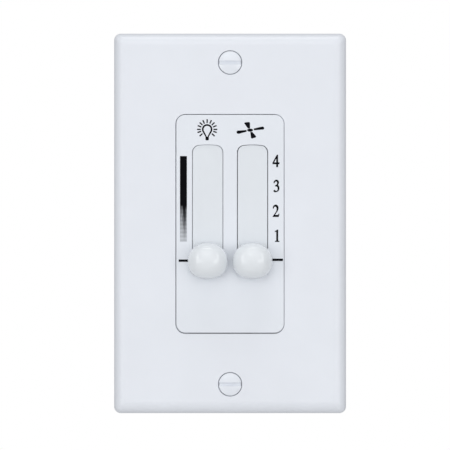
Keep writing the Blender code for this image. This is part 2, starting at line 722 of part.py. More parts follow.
def make_strap():
    """Steel strap: a wide middle, and at each end an ear with two lobes that break off."""
    bevel = 1.2
    quarter = [
        (STRAP_HALF_WIDTH, STRAP_SHOULDER_Z - bevel), (STRAP_HALF_WIDTH - bevel, STRAP_SHOULDER_Z),
        (EAR_NECK_X + bevel, STRAP_SHOULDER_Z), (EAR_NECK_X, EAR_NECK_Z), (EAR_NECK_X, EAR_LOBE_Z - bevel),
        (EAR_NECK_X + bevel, EAR_LOBE_Z), (EAR_LOBE_X - bevel, EAR_LOBE_Z), (EAR_LOBE_X, EAR_LOBE_Z + bevel),
        (EAR_LOBE_X, STRAP_HALF_HEIGHT - bevel), (EAR_LOBE_X - bevel, STRAP_HALF_HEIGHT),
    ]
    strap = prism("mounting_strap", mirrored_outline(quarter), STRAP_FRONT, STRAP_BACK, "steel")
    depth = (STRAP_FRONT - PAST, STRAP_BACK + PAST)

    tapped_radius, slot_length, slot_height = 1.75, 7.1, 4.2
    holes = bmesh.new()
    for side in (-1, 1):
        slot = rounded_rectangle(slot_length, slot_height, 0.49 * slot_height, 4, (0.0, side * DEVICE_SCREW_Z))
        add_prism(holes, slot, *depth)
        add_prism(holes, circle(tapped_radius, (0.0, side * PLATE_SCREW_Z)), *depth)
        for side_x in (-1, 1):
            x = side_x * EAR_NECK_X
            z = sorted((side * EAR_SCORE_LOW, side * EAR_SCORE_HIGH))
            add_box(holes, (x - EAR_SCORE_WIDTH / 2, x + EAR_SCORE_WIDTH / 2), depth, z)
    for centre in post_centres():
        add_prism(holes, circle(HOUSING_BORE, centre, 12), *depth)
    add_prism(holes, circle(RIVET_RADIUS + GAP, (RIVET_X, TRIAC_CENTRE_Z), 12), *depth)
    cut(strap, add_object("mounting_strap_holes", holes, "steel"))
    cut(strap, lever_slot("mounting_strap_slots", depth))


def inner_sheet(name, front, back, finish):
    """Flat sheet that fills the housing's mouth, cut clear of its four posts."""
    half_x = STRAP_HALF_WIDTH - HOUSING_WALL - 2 * GAP
    half_z = HOUSING_HALF_HEIGHT - HOUSING_WALL - 2 * GAP
    sheet = boxes(name, [((-half_x, half_x), (front, back), (-half_z, half_z))], finish)
    clear = POST_RADIUS + GAP + 0.15
    notch = ((clear, front - PAST), (clear, back + PAST))
    cut(sheet, turned(f"{name}_posts", notch, post_centres(), finish))
    return sheet


def make_insulating_sheet():
    sheet = inner_sheet("insulating_sheet", SHEET_FRONT, SHEET_BACK, "fibre")
    depth = (SHEET_FRONT - PAST, SHEET_BACK + PAST)
    window = around(0.0, TRIAC_CENTRE_Z, TRIAC_HALF_LENGTH + GAP, TRIAC_HALF_WIDTH + GAP, depth)
    cut(sheet, boxes("insulating_sheet_window", [window], "fibre"))
    cut(sheet, lever_slot("insulating_sheet_slots", depth))


def board_hole_spans(depth):
    """Holes for the pins of the slide resistor and fan switch, and for the triac's leads."""
    centres = [(-CHANNEL_X, z) for z in LIGHT_PIN_Z]
    centres += [(CHANNEL_X + x, z) for x, z in fan_pin_centres()]
    centres += [(LEAD_BEND_X, TRIAC_CENTRE_Z + step * LEAD_PITCH) for step in (-1, 0, 1)]
    return [around(x, z, PIN_HOLE, PIN_HOLE, depth) for x, z in centres]


def make_circuit_board():
    board = inner_sheet("circuit_board", BOARD_FRONT, BOARD_BACK, "board_green")
    depth = (BOARD_FRONT - PAST, BOARD_BACK + PAST)
    cut(board, boxes("circuit_board_holes", board_hole_spans(depth), "board_green"))


# ---- Parts on the strap and on the circuit board ----

def make_triac():
    """Power package lying on its side against the strap, with its tab riveted down."""
    pad_front, pad_back = STRAP_BACK + GAP, 0.5
    tab_front, tab_back, body_back = pad_back + GAP, 2.1, 5.2
    centre = [(RIVET_X, TRIAC_CENTRE_Z)]
    clear = RIVET_RADIUS + GAP
    sheet = around(0.0, TRIAC_CENTRE_Z, TRIAC_HALF_LENGTH, TRIAC_HALF_WIDTH, (pad_front, pad_back))
    pad = boxes("triac_pad", [sheet], "glass_orange")
    cut(pad, turned("triac_pad_hole", ((clear, pad_front - PAST), (clear, pad_back + PAST)), centre, "fibre"))

    body_left, body_right, tab_inset = -1.3, TRIAC_HALF_LENGTH, 0.1
    low, high = TRIAC_CENTRE_Z - TRIAC_HALF_WIDTH, TRIAC_CENTRE_Z + TRIAC_HALF_WIDTH
    triac = boxes("triac", [((body_left, body_right), (tab_front, body_back), (low, high))], "black_plastic")
    tab_x, tab_z = (-TRIAC_HALF_LENGTH, body_left + SINK), (low + tab_inset, high - tab_inset)
    merge(triac, boxes("triac_tab", [(tab_x, (tab_front + tab_inset, tab_back), tab_z)], "steel"))
    lead_half, lead_front, lead_back = 0.3, 3.2, 3.8
    root, near, far = body_right - SINK, LEAD_BEND_X - lead_half, LEAD_BEND_X + lead_half
    bend = [
        (root, lead_front), (far, lead_front), (far, PIN_TIP), (near, PIN_TIP), (near, lead_back), (root, lead_back),
    ]
    leads = bmesh.new()
    for step in (-1, 0, 1):
        z = TRIAC_CENTRE_Z + step * LEAD_PITCH
        add_prism(leads, bend, z - lead_half, z + lead_half, axis="Z")
    merge(triac, add_object("triac_leads", leads, "steel"))
    cut(triac, turned("triac_hole", ((clear, tab_front - PAST), (clear, tab_back + PAST)), centre, "steel"))

    head, head_front, head_back, upset = 2.7, FLOOR_BACK + GAP, FACE_FOOT, tab_back + GAP
    edge = 0.5
    profile = (
        (head - edge, head_front), (head, head_front + edge), (head, head_back), (RIVET_RADIUS, head_back),
        (RIVET_RADIUS, upset), (head, upset), (head, upset + edge), (head - edge, upset + 2 * edge),
    )
    turned("triac_rivet", profile, centre, "steel")


def make_choke():
    centre, flange, waist, top, lip = [(-10.8, 13.0)], 7.4, 3.2, 23.2, 1.6
    core = (
        (flange, PART_FOOT), (flange, PART_FOOT + lip), (waist, PART_FOOT + lip),
        (waist, top - lip), (flange, top - lip), (flange, top),
    )
    turned("choke_core", core, centre, "ferrite", segments=20)
    inner, outer = waist + GAP, 6.6
    low, high = PART_FOOT + lip + GAP, top - lip - GAP
    winding = ((inner, low), (outer, low), (outer, high), (inner, high))
    turned("choke_winding", winding, centre, "copper", closed=True, segments=20)


def make_box_capacitor(name, x, z, top, finish):
    """Moulded box capacitor, standing on the board with rounded edges."""
    edge = 0.6
    width, height = x[1] - x[0], z[1] - z[0]
    centre = ((x[0] + x[1]) / 2, (z[0] + z[1]) / 2)
    full = rounded_rectangle(width, height, edge, 2, centre)
    small = rounded_rectangle(width - 2 * edge, height - 2 * edge, edge / 2, 2, centre)
    loft(name, [full, full, small], [PART_FOOT, top - edge, top], finish)


def make_capacitors():
    right = (3.2, 18.4)
    make_box_capacitor("speed_capacitor_large", right, (-6.5, 21.5), 27.6, "capacitor_grey")
    make_box_capacitor("speed_capacitor_small", right, (-24.0, -8.0), 24.6, "capacitor_grey")
    make_box_capacitor("filter_capacitor", (-17.5, -4.5), (-4.0, 3.5), 20.0, "capacitor_yellow")
    make_box_capacitor("timing_capacitor", (-17.0, -10.0), (-9.6, -6.6), 15.0, "capacitor_blue")


def make_axial_part(name, z, radius, length, finish):
    """Part with a round body along X and two leads bent down to the board."""
    middle, lead_half, reach, segments = -13.5, 0.3, 2.0, 12
    height = PART_FOOT + radius + 0.4
    body = bmesh.new()
    outline = circle(radius, (height, z), segments)
    add_prism(body, outline, middle - length / 2, middle + length / 2, axis="X")
    part = add_object(name, body, finish)
    outer = length / 2 + reach
    half = [(outer, PART_FOOT), (outer, height + lead_half)]
    inside = [(outer - 2 * lead_half, height - lead_half), (outer - 2 * lead_half, PART_FOOT)]
    staple = [(middle + x, y) for x, y in half]
    staple += [(middle - x, y) for x, y in reversed(half)]
    staple += [(middle - x, y) for x, y in reversed(inside)]
    staple += [(middle + x, y) for x, y in inside]
    leads = prism(f"{name}_leads", staple, z - lead_half, z + lead_half, "steel", axis="Z")
    merge(part, leads)


def make_axial_parts():
    make_axial_part("diac", -12.6, 1.0, 4.2, "glass_orange")
    make_axial_part("timing_resistor", -16.6, 1.2, 6.4, "resistor_tan")
    make_axial_part("bleed_resistor", -20.8, 1.5, 7.4, "resistor_tan")


# ---- Rear housing and the screws ----

def housing_ring(inset, corner):
    return rounded_rectangle(2 * (STRAP_HALF_WIDTH - inset), 2 * (HOUSING_HALF_HEIGHT - inset), corner)


def make_rear_housing():
    edge = 0.8
    inner_corner = HOUSING_CORNER - HOUSING_WALL
    inner = housing_ring(HOUSING_WALL, inner_corner)
    rings = [
        housing_ring(edge, HOUSING_CORNER - edge), housing_ring(0.0, HOUSING_CORNER),
        housing_ring(0.0, HOUSING_CORNER), inner, inner,
    ]
    depths = [HOUSING_BACK, HOUSING_BACK - edge, HOUSING_FRONT, HOUSING_FRONT, HOUSING_BACK - HOUSING_WALL]
    housing = loft("rear_housing", rings, depths, "black_plastic")
    post = ((POST_RADIUS, HOUSING_FRONT), (POST_RADIUS, HOUSING_BACK - HOUSING_WALL / 2))
    merge(housing, turned("rear_housing_posts", post, post_centres(), "black_plastic"))
    counterbore = 2.2
    step = HOUSING_BACK - HOUSING_SCREW_SUNK
    hole = (
        (HOUSING_BORE, HOUSING_FRONT - PAST), (HOUSING_BORE, step), (counterbore, step),
        (counterbore, HOUSING_BACK + PAST),
    )
    cut(housing, turned("rear_housing_bores", hole, post_centres(), "black_plastic", segments=12))
    outline = rounded_rectangle(LEAD_EXIT_WIDTH, LEAD_EXIT_HEIGHT, 0.49 * LEAD_EXIT_HEIGHT, 4, LEAD_EXIT_CENTRE)
    depth = (HOUSING_BACK - HOUSING_WALL - PAST, HOUSING_BACK + PAST)
    lead_exit = prism("lead_exit_cutter", outline, *depth, "black_plastic")
    cut(housing, lead_exit)


def make_housing_screws():
    shank, head, edge = HOUSING_SCREW_RADIUS, 1.9, 0.4
    tip = FACE_BACK + 2 * GAP
    under_head = HOUSING_BACK - HOUSING_SCREW_SUNK + GAP
    head_back = HOUSING_BACK - GAP
    profile = (
        (shank / 2, tip), (shank, tip + shank / 2), (shank, under_head), (head, under_head),
        (head, head_back - edge), (head - edge, head_back),
    )
    for number, centre in enumerate(post_centres(), start=1):
        turned(f"housing_screw_{number}", profile, [centre], "steel", segments=12)


def make_device_screws():
    """Screws for the wall box, with the fibre squares that keep them in the strap."""
    head, edge, shank, front, tip, slot_depth = 3.3, 0.6, 1.6, -3.4, 23.0, 0.8
    under_head = STRAP_FRONT - GAP
    profile = (
        (head - edge, front), (head, front + edge), (head, under_head), (shank, under_head),
        (shank, tip - shank / 2), (shank / 2, tip),
    )
    half, thickness = 4.4, 0.6
    for place_name, z in (("upper", DEVICE_SCREW_Z), ("lower", -DEVICE_SCREW_Z)):
        slotted_screw(f"device_screw_{place_name}", profile, z, front, slot_depth, "steel")
        depth = (STRAP_BACK + GAP, STRAP_BACK + GAP + thickness)
        retainer = boxes(f"screw_retainer_{place_name}", [around(0.0, z, half, half, depth)], "fibre")
        clear = shank + GAP
        hole = ((clear, depth[0] - PAST), (clear, depth[1] + PAST))
        cut(retainer, turned(f"screw_retainer_{place_name}_hole", hole, [(0.0, z)], "fibre"))


def make_slide_axis(name, x):
    """Empty on the line that a slide's pieces move along, at its knob's rest place."""
    axis = bpy.data.objects.new(name, None)
    bpy.context.scene.collection.objects.link(axis)
    place(axis, x, KNOB_Z)
    return axis


def main():
    clear_scene()
    make_wall_plate()
    make_plate_screws()
    make_face_insert()
    make_channel_plate()
    for control, x in (("light", -CHANNEL_X), ("fan", CHANNEL_X)):
        axis = make_slide_axis(f"{control}_slide_axis", x)
        make_knob(f"{control}_knob", axis)
        make_saddle(f"{control}_saddle", axis)
        make_lever(f"{control}_lever", axis)
        if control == "light":
            make_light_carriage(axis)
        else:
            make_fan_carriage(axis)
    make_light_resistor()
    make_air_gap_switch()
    make_fan_switch()
    make_fan_contacts()
    make_strap()
    make_insulating_sheet()
    make_circuit_board()
    make_triac()
    make_choke()
    make_capacitors()
    make_axial_parts()
    make_rear_housing()
    make_housing_screws()
    make_device_screws()


main()
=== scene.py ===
"""Looks of the single-gang wall control: fine white mouldings, printed legends and every material.

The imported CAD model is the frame: metres, front at -Y, the wall's surface at Y = 0, +Z up. Sizes
below are in millimetres, and MM turns them into metres. Places come from the CAD nodes' boxes.
"""

import json
import math

import bmesh
import bpy
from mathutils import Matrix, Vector
from mathutils.geometry import interpolate_bezier


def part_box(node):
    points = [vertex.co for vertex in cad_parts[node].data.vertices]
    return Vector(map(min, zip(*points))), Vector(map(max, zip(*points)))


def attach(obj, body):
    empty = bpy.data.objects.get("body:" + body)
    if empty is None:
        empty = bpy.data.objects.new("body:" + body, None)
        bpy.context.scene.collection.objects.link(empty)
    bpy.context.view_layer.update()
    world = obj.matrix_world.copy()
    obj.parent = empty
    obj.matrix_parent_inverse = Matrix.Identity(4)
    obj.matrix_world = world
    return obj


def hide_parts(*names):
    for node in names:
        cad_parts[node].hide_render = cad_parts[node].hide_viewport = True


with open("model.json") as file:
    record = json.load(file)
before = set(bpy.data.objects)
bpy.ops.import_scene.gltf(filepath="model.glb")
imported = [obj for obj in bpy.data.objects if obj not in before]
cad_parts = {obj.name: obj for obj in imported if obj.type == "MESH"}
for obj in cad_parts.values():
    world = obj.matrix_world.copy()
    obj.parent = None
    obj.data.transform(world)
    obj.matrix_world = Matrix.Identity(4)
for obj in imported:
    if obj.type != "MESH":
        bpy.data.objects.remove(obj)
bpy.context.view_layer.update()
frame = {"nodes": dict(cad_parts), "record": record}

MM = 0.001
PAST = 0.5                      # how far a cutter runs past the face it cuts
SHARP_ANGLE = math.radians(32)

# Linear colours.
PLATE_COLOUR = (0.80, 0.825, 0.878)
FACE_COLOUR = (0.79, 0.82, 0.872)
KNOB_COLOUR = (0.805, 0.835, 0.865)
SCREW_COLOUR = (0.81, 0.84, 0.895)
FLOOR_SHADED_COLOUR = (0.76, 0.792, 0.832)     # the face's white darkened: painted shade for the floor sunk behind the slots
INK_COLOUR = (0.003, 0.003, 0.0045)


class Box:
    """A CAD node's box at rest, in millimetres."""

    def __init__(self, node):
        low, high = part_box(node)
        self.low = low / MM
        self.high = high / MM
        self.middle = (self.low + self.high) / 2
        self.half = (self.high - self.low) / 2


# ---- Mesh helpers ----

def rounded_rectangle(half_x, half_z, radius, steps=8, centre=(0.0, 0.0)):
    outline = []
    for side_x, side_z, start in ((1, 1, 0), (-1, 1, 90), (-1, -1, 180), (1, -1, 270)):
        middle_x = centre[0] + side_x * (half_x - radius)
        middle_z = centre[1] + side_z * (half_z - radius)
        for step in range(steps + 1):
            angle = math.radians(start + 90 * step / steps)
            outline.append((middle_x + radius * math.cos(angle), middle_z + radius * math.sin(angle)))
    return outline


def circle(radius, centre=(0.0, 0.0), segments=64):
    angles = [2 * math.pi * step / segments for step in range(segments)]
    return [(centre[0] + radius * math.cos(angle), centre[1] + radius * math.sin(angle)) for angle in angles]


def superellipse(half_x, half_z, power, centre=(0.0, 0.0), segments=96):
    outline = []
    for step in range(segments):
        angle = 2 * math.pi * step / segments
        across, up = math.cos(angle), math.sin(angle)
        x = math.copysign(abs(across) ** (2 / power), across) * half_x
        z = math.copysign(abs(up) ** (2 / power), up) * half_z
        outline.append((centre[0] + x, centre[1] + z))
    return outline


def quarter_round(radius, steps=6):
    """(inset, rise) from a wall at (radius, 0) round to a face at (0, radius), both from the edge."""
    angles = [math.radians(90 * step / steps) for step in range(steps + 1)]
    return [(radius * (1 - math.cos(angle)), radius * (1 - math.sin(angle))) for angle in angles]


def add_loft(bm, rings, closed=False):
    """Bridge rings of equal length, each an (outline, depth), along Y."""
    loops = []
    for outline, depth in rings:
        loops.append([bm.verts.new(Vector((x, depth, z)) * MM) for x, z in outline])
    count = len(loops[0])
    pairs = list(zip(loops, loops[1:]))
    if closed:
        pairs.append((loops[-1], loops[0]))
    for near, far in pairs:
        for index in range(count):
            following = (index + 1) % count
            bm.faces.new((near[index], near[following], far[following], far[index]))
    if not closed:
        bm.faces.new(loops[0])
        bm.faces.new(loops[-1])


def make_object(name, bm):
    bmesh.ops.recalc_face_normals(bm, faces=bm.faces)
    mesh = bpy.data.meshes.new(name)
    bm.to_mesh(mesh)
    bm.free()
    piece = bpy.data.objects.new(name, mesh)
    bpy.context.scene.collection.objects.link(piece)
    return piece


def loft(name, rings, closed=False):
    bm = bmesh.new()
    add_loft(bm, rings, closed)
    return make_object(name, bm)


def turned(name, profile, centres, segments=64):
    """Turn a profile of (radius, depth) about a Y axis, once for each centre."""
    bm = bmesh.new()
    for centre in centres:
        add_loft(bm, [(circle(radius, centre, segments), depth) for radius, depth in profile])
    return make_object(name, bm)


def boxes(name, spans):
    """Boxes, each an (x, y, z) of low and high pairs."""
    bm = bmesh.new()
    for (left, right), (front, back), (low, high) in spans:
        outline = [(left, low), (right, low), (right, high), (left, high)]
        add_loft(bm, [(outline, front), (outline, back)])
    return make_object(name, bm)


def shape_with(piece, operation, *tools):
    """Join the tools to the piece or cut them from it, then remove them."""
    for tool in tools:
        modifier = piece.modifiers.new(tool.name, "BOOLEAN")
        modifier.operation = operation
        modifier.solver = "EXACT"
        modifier.object = tool
    graph = bpy.context.evaluated_depsgraph_get()
    shaped = bpy.data.meshes.new_from_object(piece.evaluated_get(graph))
    piece.modifiers.clear()
    piece.data = shaped
    shaped.name = piece.name
    for tool in tools:
        bpy.data.objects.remove(tool, do_unlink=True)


def finish_piece(piece, body, slot, material, *nodes):
    """Shade, paint and attach a piece that stands for the CAD nodes."""
    mesh = piece.data
    mesh.shade_smooth()
    mesh.set_sharp_from_angle(angle=SHARP_ANGLE)
    weighted = piece.modifiers.new("flat_faces_stay_flat", "WEIGHTED_NORMAL")
    weighted.keep_sharp = True
    weighted.weight = 100
    mesh.materials.clear()
    mesh.materials.append(material)
    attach(piece, body)
    if nodes:
        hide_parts(*nodes)
    return piece


# ---- Material helpers ----

def add_node(tree, kind, inputs=None, **settings):
    """Add a node. An input's value is a constant, or another node's output socket."""
    node = tree.nodes.new(kind)
    for key, value in settings.items():
        setattr(node, key, value)
    for socket, value in (inputs or {}).items():
        if isinstance(value, bpy.types.NodeSocket):
            tree.links.new(value, node.inputs[socket])
        else:
            node.inputs[socket].default_value = value
    return node


def calculate(tree, operation, *values):
    """One step of arithmetic on constants and sockets."""
    return add_node(tree, "ShaderNodeMath", dict(enumerate(values)), operation=operation).outputs[0]


def new_material(name):
    """A material, its tree, its shader and the object's own coordinates."""
    material = bpy.data.materials.new(name)
    material.use_nodes = True
    tree = material.node_tree
    shader = tree.nodes["Principled BSDF"]
    place = add_node(tree, "ShaderNodeTexCoord").outputs["Object"]
    return material, tree, shader, place


def stretched(tree, place, scale):
    """Coordinates scaled by axis: under 1 draws a pattern out along that axis."""
    return add_node(tree, "ShaderNodeMapping", {"Vector": place, "Scale": scale}).outputs["Vector"]


def noise(tree, place, feature, detail=3.0, roughness=0.5):
    """Noise whose features are about that many millimetres across."""
    inputs = {"Vector": place, "Scale": 1 / (feature * MM), "Detail": detail, "Roughness": roughness}
    return add_node(tree, "ShaderNodeTexNoise", inputs).outputs["Fac"]


def remap(tree, value, low, high, from_low=0.3, from_high=0.7):
    """Map a range, at first the middle of a noise, to low and high, and hold it there beyond the ends."""
    inputs = {"Value": value, "From Min": from_low, "From Max": from_high, "To Min": low, "To Max": high}
    return add_node(tree, "ShaderNodeMapRange", inputs).outputs["Result"]


def mix_colours(tree, factor, first, second):
    node = add_node(tree, "ShaderNodeMix", data_type="RGBA")
    sockets = {"Factor": node.inputs[0], "A": node.inputs[6], "B": node.inputs[7]}
    for key, value in (("Factor", factor), ("A", first), ("B", second)):
        if isinstance(value, bpy.types.NodeSocket):
            tree.links.new(value, sockets[key])
        elif key == "Factor":
            sockets[key].default_value = value
        else:
            sockets[key].default_value = (*value, 1.0)
    return node.outputs[2]


def shaded(colour, share):
    """The colour made lighter or darker by a share."""
    return tuple(min(channel * share, 1.0) for channel in colour)


def relief(tree, height, depth, below=None):
    """Bump whose full height is that many millimetres."""
    inputs = {"Height": height, "Strength": 1.0, "Distance": depth * MM}
    if below is not None:
        inputs["Normal"] = below
    return add_node(tree, "ShaderNodeBump", inputs).outputs["Normal"]


def moulded(name, colour, roughness, grain=0.3, grain_depth=0.004, mottling=0.012, waviness=0.0,
            gloss_spread=0.04):
    """Moulded plastic: slow drifts of tone and gloss, a fine grain, and the slow waviness of a wide face."""
    material, tree, shader, place = new_material(name)
    drift = remap(tree, noise(tree, place, 14.0), 0.0, 1.0)
    tone = mix_colours(tree, drift, shaded(colour, 1 - mottling), shaded(colour, 1 + mottling))
    tree.links.new(tone, shader.inputs["Base Color"])
    gloss = remap(tree, noise(tree, place, 3.5, 4.0), roughness - gloss_spread, roughness + gloss_spread)
    tree.links.new(gloss, shader.inputs["Roughness"])
    normal = None
    if waviness:
        normal = relief(tree, noise(tree, place, 9.0, 1.0), waviness)
    normal = relief(tree, noise(tree, place, grain, 2.0), grain_depth, normal)
    tree.links.new(normal, shader.inputs["Normal"])
    shader.inputs["IOR"].default_value = 1.49
    return material


def plated(name, colour, roughness, streak, grain=0.25):
    """Plated or bare metal: streaks along the rolling direction and cloudy plating."""
    material, tree, shader, place = new_material(name)
    cloud = remap(tree, noise(tree, place, 6.0, 5.0), 0.0, 1.0)
    tone = mix_colours(tree, cloud, shaded(colour, 0.88), shaded(colour, 1.06))
    tree.links.new(tone, shader.inputs["Base Color"])
    lines = noise(tree, stretched(tree, place, streak), grain, 4.0)
    smoothest, roughest = roughness - 0.07, roughness + 0.10
    tree.links.new(remap(tree, lines, smoothest, roughest), shader.inputs["Roughness"])
    tree.links.new(relief(tree, lines, 0.006), shader.inputs["Normal"])
    shader.inputs["Metallic"].default_value = 1.0
    return material


def speckled(name, dark, light, roughness, feature):
    """Pressed, sintered or laminated stuff: two tones in grains."""
    grain_depth, threshold, gloss_spread = 0.01, (0.45, 0.6), 0.06
    material, tree, shader, place = new_material(name)
    grains = noise(tree, place, feature, 6.0, 0.65)
    share = remap(tree, grains, 0.0, 1.0, *threshold)
    tree.links.new(mix_colours(tree, share, dark, light), shader.inputs["Base Color"])
    gloss = remap(tree, grains, roughness - gloss_spread, roughness + gloss_spread)
    tree.links.new(gloss, shader.inputs["Roughness"])
    tree.links.new(relief(tree, grains, grain_depth), shader.inputs["Normal"])
    return material


def fibrous(name, dark, light):
    """Pressed fibre sheet: short hairs that run both ways."""
    material, tree, shader, place = new_material(name)
    slenderness = 6.0
    hair = {"feature": 0.6, "detail": 5.0, "roughness": 0.6}
    along = noise(tree, stretched(tree, place, (1.0, 1.0, slenderness)), **hair)
    across = noise(tree, stretched(tree, place, (slenderness, 1.0, 1.0)), **hair)
    hairs = calculate(tree, "MAXIMUM", along, across)
    share = remap(tree, hairs, 0.0, 1.0, 0.4, 0.75)
    tree.links.new(mix_colours(tree, share, dark, light), shader.inputs["Base Color"])
    tree.links.new(relief(tree, hairs, 0.03), shader.inputs["Normal"])
    tree.links.new(remap(tree, hairs, 0.8, 0.95), shader.inputs["Roughness"])
    return material


WEAVE_SCALE = 1.2               # the board's glass weave
WINDING_SCALE = 4.2             # the choke's turns of wire


def solder_masked(name):
    """Green circuit board: glass weave under the mask, and lighter copper areas beneath it."""
    material, tree, shader, place = new_material(name)
    weave = add_node(
        tree, "ShaderNodeTexWave", {"Vector": place, "Scale": 1 / (WEAVE_SCALE * MM), "Distortion": 0.4},
    )
    copper = remap(tree, noise(tree, place, 7.0, 0.0), 0.0, 1.0, 0.48, 0.52)
    tone = mix_colours(tree, copper, (0.02, 0.15, 0.05), (0.05, 0.26, 0.09))
    tree.links.new(tone, shader.inputs["Base Color"])
    normal = relief(tree, weave.outputs["Fac"], 0.008)
    tree.links.new(relief(tree, copper, 0.03, normal), shader.inputs["Normal"])
    tree.links.new(remap(tree, noise(tree, place, 2.0), 0.35, 0.5), shader.inputs["Roughness"])
    return material


def wound(name):
    """Enamelled copper wire, laid turn beside turn, its colour darkened towards the creases between turns as
    painted shade.
    """
    material, tree, shader, place = new_material(name)
    turns = add_node(
        tree, "ShaderNodeTexWave", {"Vector": place, "Scale": 1 / (WINDING_SCALE * MM), "Distortion": 0.3},
        bands_direction="Z",
    ).outputs["Fac"]
    # painted shade: the wire's copper colour goes dark in the creases between turns and stays light on each
    # turn's crest
    tone = mix_colours(tree, turns, (0.25, 0.08, 0.03), (0.85, 0.38, 0.17))
    tree.links.new(tone, shader.inputs["Base Color"])
    tree.links.new(relief(tree, turns, 0.25), shader.inputs["Normal"])
    tree.links.new(remap(tree, noise(tree, place, 1.0), 0.25, 0.4), shader.inputs["Roughness"])
    shader.inputs["Metallic"].default_value = 0.9
    return material


def dry_as_ink(tree, shader, place):
    """Give the shader the matt, slightly pitted film of dry ink, and return that film's pattern."""
    film = noise(tree, place, 0.25, 3.0)
    tree.links.new(remap(tree, film, 0.42, 0.6), shader.inputs["Roughness"])
    tree.links.new(relief(tree, film, 0.003), shader.inputs["Normal"])
    shader.inputs["Specular IOR Level"].default_value = 0.03
    return film


def ink(name):
    """Screen-printed ink: nearly black, with slight pinholes in its gloss."""
    material, tree, shader, place = new_material(name)
    film = dry_as_ink(tree, shader, place)
    tone = mix_colours(tree, remap(tree, film, 0.0, 1.0), INK_COLOUR, shaded(INK_COLOUR, 2.2))
    tree.links.new(tone, shader.inputs["Base Color"])
    return material


BAR_LIGHT_STREAK = -14.43       # the ink thins out soonest down this line
BAR_STREAK_PITCH = 1.4          # and again this far to each side
BAR_STREAK_SWAY = 0.2           # how far a streak wanders to each side
BAR_LIGHT_MARGIN = 0.15         # further left of that streak than this, the ink gets no darker
BAR_LINE_PITCH = 1.2            # fine level lines in the thinning ink
BAR_LINE_BARE = (0.62, 0.78)    # share left bare at the bar's foot, on a line and between lines
BAR_POWERS = (0.47, 2.3)        # thinning follows a power of the way down, at a light streak and a dark one


def wave(tree, value, origin, pitch):
    """Cosine of a coordinate, 1 at the origin and again at each pitch, both in millimetres."""
    offset = calculate(tree, "SUBTRACT", value, origin * MM)
    return calculate(tree, "COSINE", calculate(tree, "MULTIPLY", offset, 2 * math.pi / (pitch * MM)))


def fading_ink(name, solid_z, end_z):
    """Ink that is solid above solid_z and thins out in streaks and fine lines down to end_z."""
    material, tree, shader, place = new_material(name)
    axes = add_node(tree, "ShaderNodeSeparateXYZ", {"Vector": place}).outputs
    streaks = noise(tree, stretched(tree, place, (3.2, 1.0, 0.4)), 1.1, 3.0, 0.6)
    sway = remap(tree, streaks, -BAR_STREAK_SWAY * MM, BAR_STREAK_SWAY * MM)
    across = calculate(tree, "ADD", axes["X"], sway)
    across = calculate(tree, "MAXIMUM", across, (BAR_LIGHT_STREAK - BAR_LIGHT_MARGIN) * MM)
    fast, slow = BAR_POWERS
    power = remap(tree, wave(tree, across, BAR_LIGHT_STREAK, BAR_STREAK_PITCH), slow, fast, -1.0, 1.0)
    thinning = remap(tree, axes["Z"], 1.0, 0.0, end_z * MM, solid_z * MM)
    ripple = wave(tree, axes["Z"], BAR_LINE_PITCH / 4, BAR_LINE_PITCH)
    lines = remap(tree, ripple, *BAR_LINE_BARE, -1.0, 1.0)
    bare = calculate(tree, "MULTIPLY", calculate(tree, "POWER", thinning, power), lines)
    tone = mix_colours(tree, bare, INK_COLOUR, FACE_COLOUR)
    tree.links.new(tone, shader.inputs["Base Color"])
    dry_as_ink(tree, shader, place)
    return material


ROLLED = (1.0, 1.0, 0.06)       # streaks run along Z

SLOT_MATERIALS = {
    "plate_white": moulded("plate_moulding", PLATE_COLOUR, 0.34, waviness=0.02),
    "face_white": moulded("face_moulding", FACE_COLOUR, 0.38),
    "knob_white": moulded(
        "knob_moulding", KNOB_COLOUR, 0.11, grain_depth=0.0007, mottling=0.008, gloss_spread=0.012,
    ),
    "screw_white": moulded("screw_paint", SCREW_COLOUR, 0.17, grain=0.5),
    "steel": plated("zinc_plated_steel", (0.62, 0.63, 0.65), 0.34, ROLLED),
    "spring_steel": plated("spring_steel", (0.70, 0.70, 0.72), 0.28, ROLLED),
    "brass": plated("stamped_brass", (0.72, 0.52, 0.22), 0.30, ROLLED),
    "black_plastic": moulded(
        "black_moulding", (0.022, 0.022, 0.025), 0.46, grain=0.35, grain_depth=0.02, mottling=0.12,
    ),
    "fibre": fibrous("pressed_fibre", (0.36, 0.22, 0.11), (0.60, 0.42, 0.25)),
    "laminate": speckled("phenolic_laminate", (0.40, 0.22, 0.08), (0.58, 0.36, 0.15), 0.55, 0.5),
    "board_green": solder_masked("solder_mask"),
    "ferrite": speckled("sintered_ferrite", (0.06, 0.06, 0.065), (0.13, 0.13, 0.14), 0.66, 0.3),
    "copper": wound("enamelled_copper"),
    "capacitor_yellow": moulded("yellow_case", (0.80, 0.55, 0.07), 0.42, grain_depth=0.01, mottling=0.05),
    "capacitor_blue": moulded(
        "blue_dip", (0.05, 0.16, 0.45), 0.35, grain=0.8, grain_depth=0.03, mottling=0.08,
    ),
    "capacitor_grey": moulded("grey_case", (0.33, 0.34, 0.36), 0.50, grain_depth=0.01, mottling=0.05),
    "resistor_tan": speckled("resistor_lacquer", (0.62, 0.46, 0.26), (0.74, 0.58, 0.37), 0.40, 0.6),
    "glass_orange": moulded("orange_glass", (0.75, 0.26, 0.06), 0.15, grain_depth=0.002, mottling=0.08),
}


# ---- Wall plate and its screws ----

plate = Box("wall_plate")
insert = Box("face_insert")
knobs = {"light": Box("light_knob"), "fan": Box("fan_knob")}
channel = Box("channel_plate")
DASH_Z = knobs["light"].middle.z

PLATE_CORNER = 2.0
PLATE_SHOULDER = 3.6
PLATE_WALL = 2.2
OPENING_GAP = 0.21              # between the insert and the plate's opening
OPENING_CORNER = 3.0
OPENING_SHIFT = 0.045           # twice this is how much closer the opening's right edge stands
OPENING_DROP = 0.12             # twice this is how much lower the opening's and insert's tops stand
OPENING_SAG = 0.04              # twice this is how much further away the opening's lower edge stands


